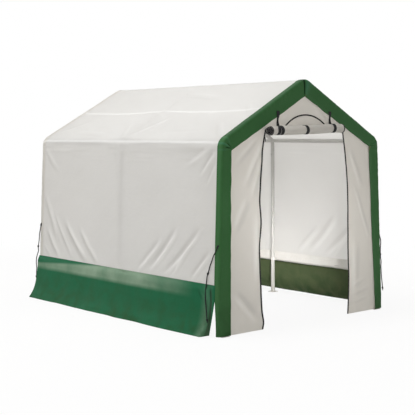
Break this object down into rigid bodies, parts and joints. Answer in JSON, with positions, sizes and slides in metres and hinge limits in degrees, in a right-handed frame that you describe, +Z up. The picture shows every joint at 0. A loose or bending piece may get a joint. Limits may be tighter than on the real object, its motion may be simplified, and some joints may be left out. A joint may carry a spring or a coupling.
{
  "type": "peak-roof polytunnel greenhouse",
  "caption": "Walk-in greenhouse: peaked steel tube frame under a sewn translucent sheet cover with contrasting edge trim and side skirts, its front door rolled up over the doorway.",
  "frame": {"origin": "on the ground, at the centre of the outline of the whole greenhouse with its door rolled up", "axes": "+Z up, +Y from the front gable with the door to the rear gable, +X to the right of someone who looks in at the door"},
  "size_m": [2.0892, 2.6379, 1.9697],
  "materials": {
    "white_sheet": "satin woven sheet",
    "vent_net": "fine net",
    "green_sheet": "gloss coated sheet",
    "frame_steel": "powder coat",
    "fitting_steel": "powder coat",
    "white_plastic": "matte",
    "black_webbing": "woven",
    "black_cord": "braided"
  },
  "bodies": {
    "root": {"front_left_leg": "frame_steel", "front_left_rafter": "frame_steel", "front_right_leg": "frame_steel", "front_right_rafter": "frame_steel", "middle_left_leg": "frame_steel", "middle_left_rafter": "frame_steel", "middle_right_leg": "frame_steel", "middle_right_rafter": "frame_steel", "rear_left_leg": "frame_steel", "rear_left_rafter": "frame_steel", "rear_right_leg": "frame_steel", "rear_right_rafter": "frame_steel", "ridge_rail": "frame_steel", "left_eave_rail": "frame_steel", "right_eave_rail": "frame_steel", "left_cover_rail": "frame_steel", "right_cover_rail": "frame_steel", "eave_fittings": "fitting_steel", "ridge_fittings": "fitting_steel", "foot_plates": "fitting_steel", "rail_saddles": "white_plastic", "left_roof_sheet": "white_sheet", "left_wall_sheet": "white_sheet", "left_rail_pocket": "white_sheet", "front_left_wing": "white_sheet", "left_skirt": "green_sheet", "right_roof_sheet": "white_sheet", "right_wall_sheet": "white_sheet", "right_rail_pocket": "white_sheet", "front_right_wing": "white_sheet", "right_skirt": "green_sheet", "front_trim": "green_sheet", "rear_trim": "white_sheet", "front_gable_sheet": "white_sheet", "rear_gable_sheet": "white_sheet", "rolled_door": "white_sheet", "vent_flaps": "vent_net", "vent_pipings": "black_webbing", "door_zips": "black_webbing", "roll_straps": "black_webbing", "front_left_cord": "black_cord", "front_right_cord": "black_cord", "rear_left_cord": "black_cord", "rear_right_cord": "black_cord", "cord_knots": "black_cord", "cord_loops": "black_cord"}
  },
  "joints": []
}
